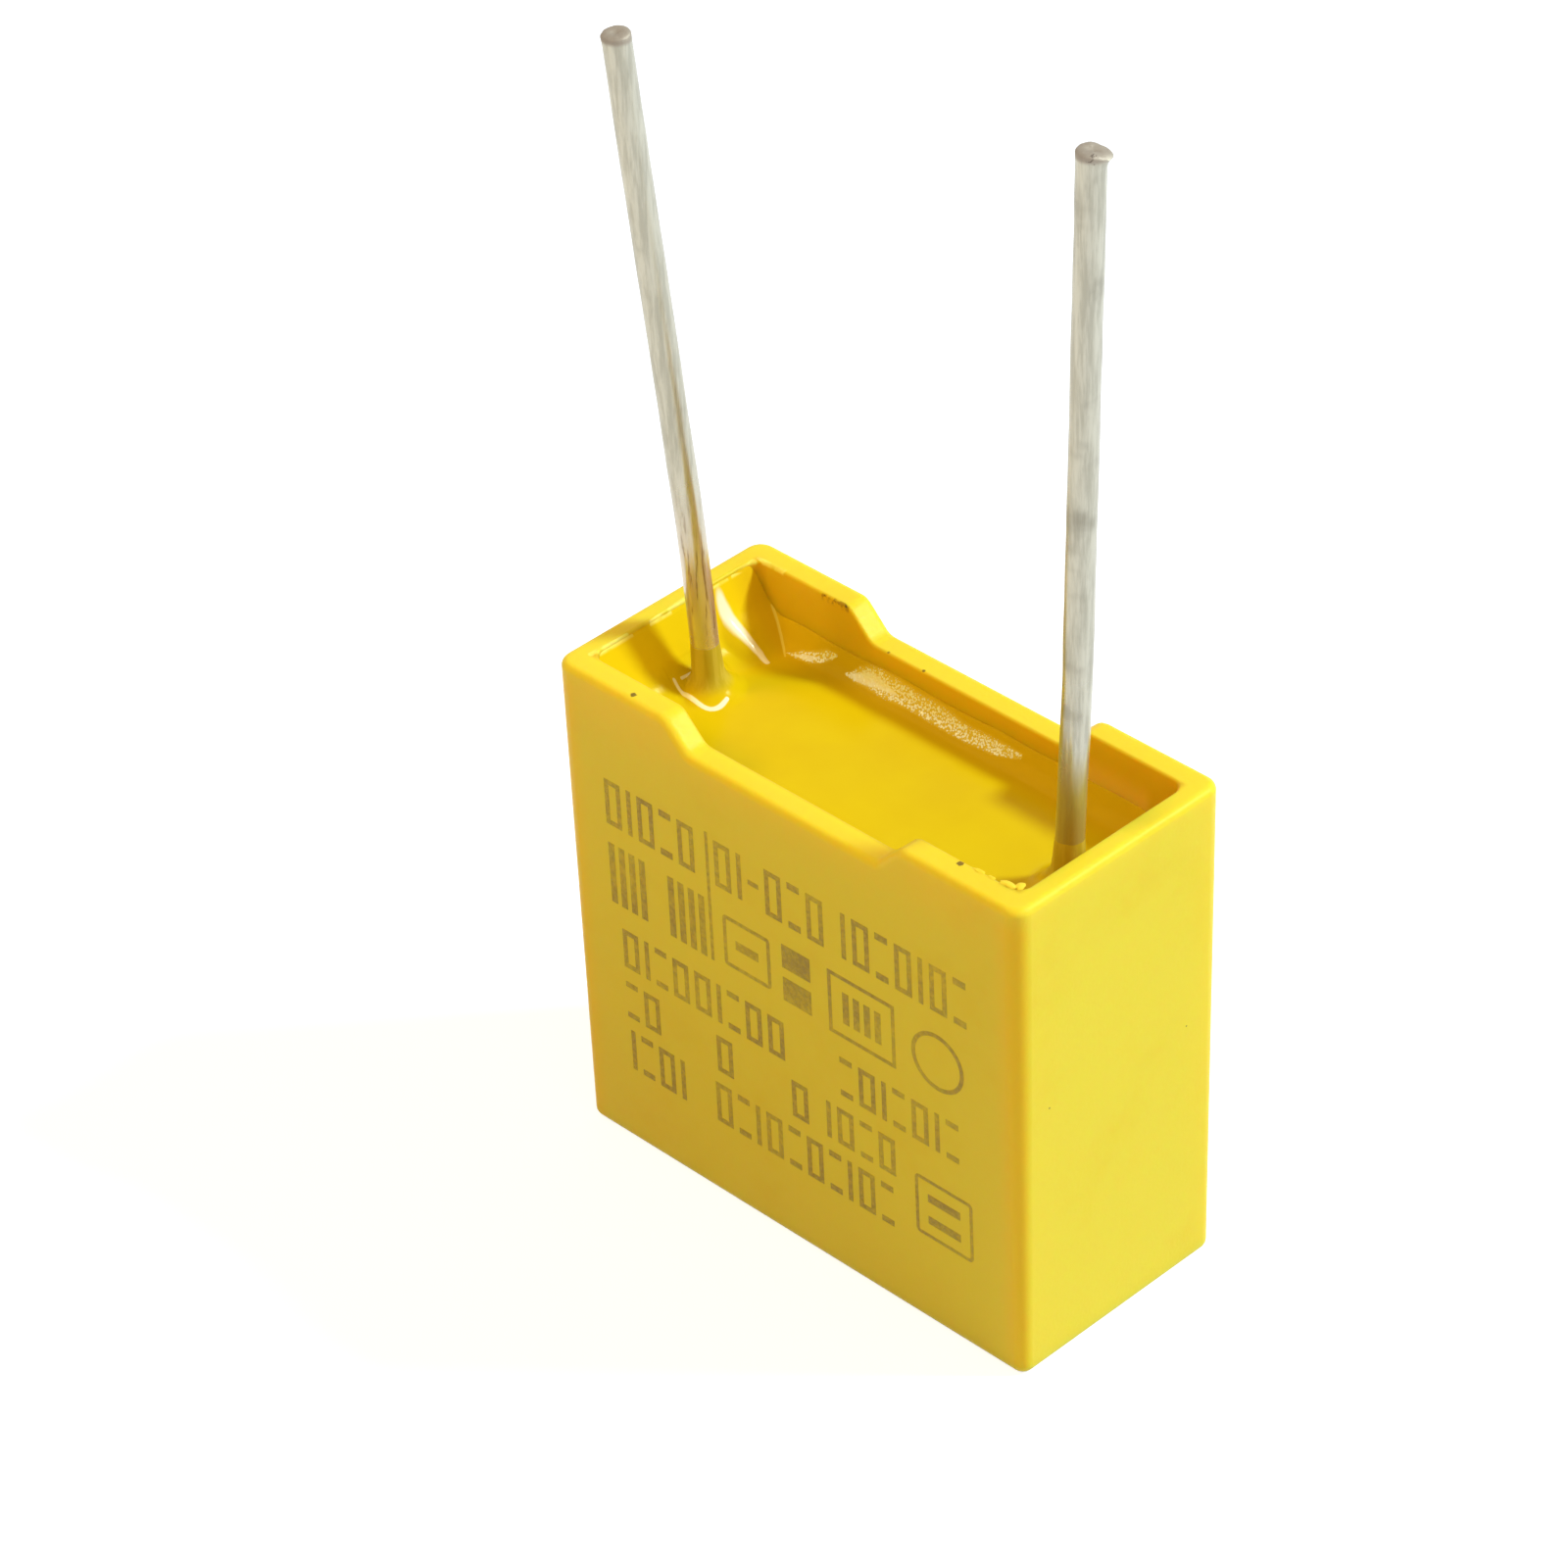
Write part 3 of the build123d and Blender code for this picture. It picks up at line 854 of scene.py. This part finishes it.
# ---- Rim flecks ----
# Scraps of set resin and moulding flash, left on the near right-hand corner of the case's rim
# when the part was potted. Each is a ragged lump, a few tenths of a millimetre long.

# The place of each in mm, and its half length, half width and half height.
flecks = [((5.66, -2.35, 11.99), (0.20, 0.09, 0.04)), ((5.84, -2.22, 11.98), (0.09, 0.12, 0.04)),
          ((4.92, -2.41, 11.98), (0.15, 0.07, 0.035)), ((5.25, -2.40, 11.98), (0.09, 0.06, 0.03))]


def build_fleck(middle, sizes, seed):
    """A small ragged lump: a ball of rings, pushed in and out."""
    around, rings = 20, 10
    points, faces = [], []
    for i in range(rings + 1):
        tilt = pi * i / rings
        for k in range(around if 0 < i < rings else 1):
            turn = 2 * pi * k / around
            away = Vector((sin(tilt) * cos(turn), sin(tilt) * sin(turn), cos(tilt)))
            away *= 1 + uneven(0.35, *(away * 1.7 + Vector((seed, 0, 0))))
            points.append((Vector(middle) + away * Vector(sizes)) * MM)
    last = len(points) - 1
    for k in range(around):
        j = (k + 1) % around
        for a in range(1, last - around, around):
            b = a + around
            faces.append([a + k, b + k, b + j, a + j])
        faces.append([0, 1 + k, 1 + j])
        faces.append([last, last - around + j, last - around + k])
    return points, faces


fleck_points, fleck_faces = [], []
for seed, (middle, sizes) in enumerate(flecks):
    lump_points, lump_faces = build_fleck(middle, sizes, seed * 7.3)
    fleck_faces += [[i + len(fleck_points) for i in face] for face in lump_faces]
    fleck_points += lump_points

fleck_finish, tree, shader = new_finish("resin_flecks")
surface = use(tree, skin, Place=place(tree), Grain_size=0.06 * MM, Swell_size=0.4 * MM,
              Grain_share=0.5)
mottled = ramp(tree, surface["Mottle"], 0.3, 0.7)
fill(tree, shader, {
    "Base Color": mix_colour(tree, mottled, case_colour, case_rubbed_colour),
    "Roughness": calc(tree, "MULTIPLY_ADD", surface["Grain"], 0.2, 0.4),
    "Specular IOR Level": 0.1})
relief(tree, shader, surface["Height"], 0.5, 0.02 * MM)
add_piece("rim_flecks", fleck_points, fleck_faces, fleck_finish)


# ---- Leads ----
# Copper-clad steel wire, hot tinned and dull with age, welded inside and led out through the
# resin. Its drawn skin has long scratches and small lumps of tin, and each end was nipped off.
lead_low_z = 3.6
bend_radius = 5.0
tin_colour = (0.42, 0.41, 0.335, 1.0)
tin_pale_colour = (0.56, 0.55, 0.46, 1.0)
tin_dark_colour = (0.22, 0.205, 0.16, 1.0)
tin_rosy_colour = (0.86, 0.70, 0.55, 1.0)
tin_crack_colour = (0.20, 0.11, 0.04, 1.0)
cut_colour = (0.36, 0.31, 0.26, 1.0)
pit_colour = (0.10, 0.075, 0.06, 1.0)
resin_stain_and_reflection_colour = (0.42, 0.33, 0.035, 1.0)
# The way that the cutters pushed each tip out, how far, and how much of the wire that reaches.
nips = {"lead_left": ((-0.5, -0.86, 0.0), 0.012), "lead_right": ((0.69, 0.72, 0.0), 0.10)}
nip_reach = 0.34
# Rings of the cut face: each ring's share of the wire's width, and its height above the edge.
cut_rings = [(0.93, 0.030), (0.78, 0.052), (0.55, 0.062), (0.32, 0.045), (0.14, 0.015)]


def bent_line(corners, radius, spacing):
    """Points along a line whose corners are rounded with arcs."""
    line = [Vector(corners[0])]
    for before, corner, after in zip(corners, corners[1:], corners[2:]):
        corner = Vector(corner)
        inward = (Vector(before) - corner).normalized()
        outward = (Vector(after) - corner).normalized()
        turn = pi - inward.angle(outward)
        reach = radius * tan(turn / 2)
        start, end = corner + inward * reach, corner + outward * reach
        count = 8
        for i in range(count + 1):
            t = i / count
            line.append((start * (1 - t) + corner * t) * (1 - t) + (corner * (1 - t) + end * t) * t)
    line.append(Vector(corners[-1]))
    fine = [line[0]]
    for a, b in zip(line, line[1:]):
        count = max(1, round((b - a).length / spacing))
        fine += [a + (b - a) * (i + 1) / count for i in range(count)]
    return fine


def build_lead(name, side, turn, lean, second_bend_z, upper_lean, tip_z):
    """Round wire along its bent line, with a slightly uneven skin and a nipped tip."""
    root = Vector((side * lead_pitch / 2, 0.0))
    bend = lead_axis(side, turn, lean, second_bend_z)
    top = bend + outward_of(side, turn) * ((tip_z - second_bend_z) * tan(radians(upper_lean)))
    line = bent_line([(*root, lead_low_z), (*root, lead_bend_z), (*bend, second_bend_z),
                      (*top, tip_z)], bend_radius, 0.08)
    tip = line[-1]
    around = 40
    points, rings = [], []
    nip, nip_push = nips[name]
    for index, centre in enumerate(line):
        ahead = (line[min(index + 1, len(line) - 1)] - line[max(index - 1, 0)]).normalized()
        u = Vector((0, 1, 0)).cross(ahead).normalized()
        v = ahead.cross(u)
        pushed = nip_push * max(0.0, 1 - (tip - centre).length / nip_reach) ** 2
        exposed = min(max((centre.z - case_height) / 0.8, 0.0), 1.0)
        for k in range(around):
            at = 2 * pi * k / around
            outward = u * cos(at) + v * sin(at)
            lump = uneven(0.011, centre.z * 0.9, cos(at) * 0.8, sin(at) * 0.8 + side)
            towards_nip = max(outward.dot(Vector(nip)), 0.0)
            radius = lead_radius + exposed * lump + pushed * (0.08 + 0.9 * towards_nip ** 2)
            skin_point = centre + outward * radius
            skin_point.z -= pushed * 0.9 * towards_nip
            points.append(skin_point * MM)
        rings.append(list(range(index * around, (index + 1) * around)))
    last = len(points) - around
    for share, lift in cut_rings:
        rings.append(list(range(len(points), len(points) + around)))
        for k in range(around):
            edge = points[last + k] / MM
            flat = Vector((tip.x + (edge.x - tip.x) * share, tip.y + (edge.y - tip.y) * share, 0))
            dent = uneven(0.012, flat.x * 9, flat.y * 9, side)
            flat.z = tip.z + (edge.z - tip.z) * share + lift + dent
            points.append(flat * MM)
    faces = [rings[0][::-1]]
    for ring, other in zip(rings, rings[1:]):
        faces += joined(ring, other)
    faces.append(rings[-1])
    return points, faces


wire_finish, tree, shader = new_finish("tinned_wire")
where = place(tree)
axes = by_axis(tree, where)
stretched = vector_calc(tree, "MULTIPLY", where, (1.0, 1.0, 0.08))
streaks = clouds(tree, stretched, 9000.0, 4.0, 0.65)
patches = clouds(tree, where, 900.0, 3.0)
colour = mix_colour(tree, ramp(tree, streaks, 0.35, 0.65), tin_colour, tin_pale_colour)
colour = tinted(tree, colour, ramp(tree, patches, 0.55, 0.75), 0.5, tin_dark_colour)
# Low on each lead the colour of the resin that wetted it; up the right-hand lead it reaches higher,
# as a painted reflection of the yellow open end.
right_hand = ramp(tree, axes["X"], -1 * MM, 1 * MM)
left_hand = calc(tree, "SUBTRACT", 1.0, right_hand)
stain_top = calc(tree, "MULTIPLY_ADD", right_hand, 1.8 * MM, 11.58 * MM)
fade = calc(tree, "MULTIPLY_ADD", right_hand, 0.6 * MM, 0.1 * MM)
ragged = calc(tree, "MULTIPLY_ADD", patches, 0.4 * MM, -0.2 * MM)
above = calc(tree, "SUBTRACT", calc(tree, "ADD", axes["Z"], ragged), stain_top)
near_resin_stain_and_reflection = ramp(tree, calc(tree, "DIVIDE", above, fade), 1.0, -1.0)
colour = tinted(tree, colour, near_resin_stain_and_reflection, 0.85, resin_stain_and_reflection_colour)
# Low on the left-hand lead the tin is rosy, with brown cracks along it.
low_left = product(tree, ramp(tree, axes["Z"], 16.5 * MM, 12.5 * MM), left_hand,
                   calc(tree, "SUBTRACT", 1.0, near_resin_stain_and_reflection))
colour = tinted(tree, colour, low_left, 0.45, tin_rosy_colour)
cracks = product(tree, low_left, ramp(tree, streaks, 0.44, 0.36))
colour = tinted(tree, colour, cracks, 0.8, tin_crack_colour)
# The nipped ends show bare steel, dull and brown, with one dark pit in the right-hand one.
tip_height = calc(tree, "MULTIPLY_ADD", right_hand, 1.15 * MM, 26.25 * MM)
nipped = ramp(tree, calc(tree, "SUBTRACT", axes["Z"], tip_height), -0.16 * MM, -0.04 * MM)
colour = tinted(tree, colour, nipped, 0.8, cut_colour)
pit = use(tree, spot, Place=where, Centre=tuple(Vector((5.88, -0.14, 27.33)) * MM),
          Radius=0.12 * MM)["Mask"]
colour = tinted(tree, colour, pit, 0.7, pit_colour)
# The tin is smoother, and so brighter, near the resin.
smoother = ramp(tree, axes["Z"], 17.0 * MM, 14.8 * MM)
rough = calc(tree, "MULTIPLY_ADD", patches, 0.25, 0.22)
rough = calc(tree, "MULTIPLY_ADD", nipped, 0.3, rough)
fill(tree, shader, {
    "Base Color": colour, "Metallic": calc(tree, "MULTIPLY_ADD", near_resin_stain_and_reflection, -0.68, 0.75),
    "Roughness": calc(tree, "MULTIPLY_ADD", smoother, -0.1, rough)})
relief(tree, shader, streaks, 0.5, 0.012 * MM)

for name, lead in leads.items():
    lead_points, lead_faces = build_lead(name, *lead)
    wire = add_piece(name + "_wire", lead_points, lead_faces, wire_finish)
    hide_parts(name)


# ---- Print ----
# Dark ink stamped on one long side: rows of plain boxes and bars, and a row of plain figures,
# thin and rubbed until the yellow shows through.
ink_thickness = 0.006
ink_colour = (0.20, 0.16, 0.07, 1.0)
ink_pale_colour = (0.34, 0.27, 0.09, 1.0)
stroke = 0.12
mark_space = 0.19
mark_widths = {"box": 0.46, "bar": stroke, "half": 0.34, "dash": 0.30, "gap": 0.16}
solid_marks, outlined_marks = [], []


def block(x0, z0, x1, z1):
    """Outline of a rectangle between two opposite corners."""
    return [(x0, z0), (x1, z0), (x1, z1), (x0, z1)]


def rounded(x0, z0, x1, z1, radius, count=8):
    """Outline of a rectangle with rounded corners."""
    outline = []
    for cx, cz, start in ((x1 - radius, z0 + radius, -90), (x1 - radius, z1 - radius, 0),
                          (x0 + radius, z1 - radius, 90), (x0 + radius, z0 + radius, 180)):
        for i in range(count + 1):
            turn = radians(start + 90 * i / count)
            outline.append((cx + radius * cos(turn), cz + radius * sin(turn)))
    return outline


def ring_outline(cx, cz, radius, count=64):
    """Outline of a circle."""
    turns = [2 * pi * i / count for i in range(count)]
    return [(cx + radius * cos(turn), cz + radius * sin(turn)) for turn in turns]


def inset(outline, amount):
    """The same outline, drawn in towards its middle by an even width."""
    count = len(outline)
    drawn = []
    for i, (x, z) in enumerate(outline):
        ax, az = outline[i - 1]
        bx, bz = outline[(i + 1) % count]
        before = Vector((x - ax, z - az)).normalized()
        after = Vector((bx - x, bz - z)).normalized()
        left_before, left_after = Vector((-before.y, before.x)), Vector((-after.y, after.x))
        middle = (left_before + left_after)
        middle = middle / max(middle.length_squared / 2, 0.2)
        drawn.append((x + middle.x * amount, z + middle.y * amount))
    return drawn


def plain_row(x0, x1, z0, z1, pattern):
    """A row of open boxes, bars and short blocks that fills a stretch, in a repeated pattern."""
    x, step = x0, 0
    middle, thin = (z0 + z1) / 2, (z1 - z0) * 0.14
    while x + mark_widths[pattern[step % len(pattern)]] <= x1 + 1e-6:
        kind = pattern[step % len(pattern)]
        end = x + mark_widths[kind]
        if kind == "box":
            outlined_marks.append((block(x, z0, end, z1), stroke))
        elif kind == "bar":
            solid_marks.append(block(x, z0, end, z1))
        elif kind == "half":
            solid_marks.append(block(x, z0, end, z0 + thin))
            solid_marks.append(block(x, z1 - thin, end, z1))
        elif kind == "dash":
            solid_marks.append(block(x, middle - stroke / 2, end, middle + stroke / 2))
        x = end + mark_space
        step += 1


# Rows: where each starts and ends, its lower and upper edges, and its marks.
for row in ((-5.2, -2.4, 8.45, 9.6, ("box", "bar", "box", "half")),
            (-2.0, 1.35, 8.45, 9.6, ("box", "bar", "dash", "box", "half")),
            (1.6, 5.1, 8.45, 9.6, ("bar", "box", "half", "box")),
            (-4.95, -0.2, 4.8, 5.8, ("box", "bar", "half", "box")),
            (1.4, 5.0, 4.8, 5.8, ("half", "box", "bar")),
            (-4.95, -3.7, 3.45, 4.4, ("half", "box")),
            (-2.25, -1.6, 3.45, 4.4, ("box",)),
            (-0.05, 3.1, 3.45, 4.4, ("box", "gap", "bar", "box", "half")),
            (-4.9, -2.95, 2.05, 3.1, ("bar", "half", "box")),
            (-2.35, 3.05, 2.05, 3.1, ("box", "half", "bar", "box", "half"))):
    plain_row(*row)
solid_marks.append(block(-2.25, 6.4, -2.17, 9.7))

# Row of plain figures: two barred squares, a rounded box with a bar in it, two stacked blocks, a
# barred box and a ring, with one more rounded box lower down that has two bars in it.
for left, low, high in ((-5.2, 6.4, 7.95), (-3.45, 6.4, 7.95), (1.56, 6.75, 7.55)):
    for i in range(4):
        solid_marks.append(block(left + 0.3 * i, low, left + 0.3 * i + 0.17, high))
outlined_marks.append((block(1.15, 6.35, 3.02, 7.95), 0.09))
outlined_marks.append((rounded(-1.85, 6.5, -0.5, 7.8, 0.1), 0.09))
solid_marks.append(block(-1.5, 7.04, -0.85, 7.26))
for low in (6.45, 7.3):
    solid_marks.append(block(-0.15, low, 0.65, low + 0.6))
outlined_marks.append((ring_outline(4.2, 7.15, 0.72), 0.1))
outlined_marks.append((rounded(3.45, 2.35, 5.05, 3.9, 0.12), 0.08))
for low in (2.72, 3.3):
    solid_marks.append(block(3.8, low, 4.7, low + 0.2))


def on_side(x, z, raised):
    """A point on the printed side, which leans with the mould's draft."""
    return Vector((x, -case_depth / 2 + (case_height - z) * draft_slope - raised, z)) * MM


ink_points, ink_faces = [], []


def stamp(outline, hole=None):
    """A thin layer of ink with this outline, and a hole where one is given."""
    first = len(ink_points)
    loops = [outline] + ([hole] if hole else [])
    count = len(outline)
    for raised in (ink_thickness, -0.002):
        for loop in loops:
            ink_points.extend(on_side(x, z, raised) for x, z in loop)
    back = count * len(loops)
    for i in range(count):
        j = (i + 1) % count
        a, b = first + i, first + j
        ink_faces.append([a, b, b + back, a + back][::-1])
        if hole:
            c, d = a + count, b + count
            ink_faces.append([a, b, d, c])
            ink_faces.append([a + back, b + back, d + back, c + back][::-1])
            ink_faces.append([c, d, d + back, c + back])
    if not hole:
        ink_faces.append(list(range(first, first + count)))
        ink_faces.append(list(range(first + back, first + back + count))[::-1])


for outline in solid_marks:
    stamp(outline)
for outline, width in outlined_marks:
    stamp(outline, inset(outline, width))

ink_finish, tree, shader = new_finish("rubbed_ink")
surface = use(tree, skin, Place=place(tree), Grain_size=0.1 * MM, Swell_size=0.9 * MM,
              Grain_share=0.5)
cover = calc(tree, "MULTIPLY_ADD", ramp(tree, surface["Mottle"], 0.3, 0.7), 0.24, 0.17)
cover = calc(tree, "MULTIPLY_ADD", ramp(tree, surface["Grain"], 0.35, 0.65), 0.14, cover)
fill(tree, shader, {
    "Base Color": mix_colour(tree, surface["Mottle"], ink_colour, ink_pale_colour),
    "Alpha": cover, "Roughness": 0.5})
add_piece("side_print", ink_points, ink_faces, ink_finish, smooth=False)
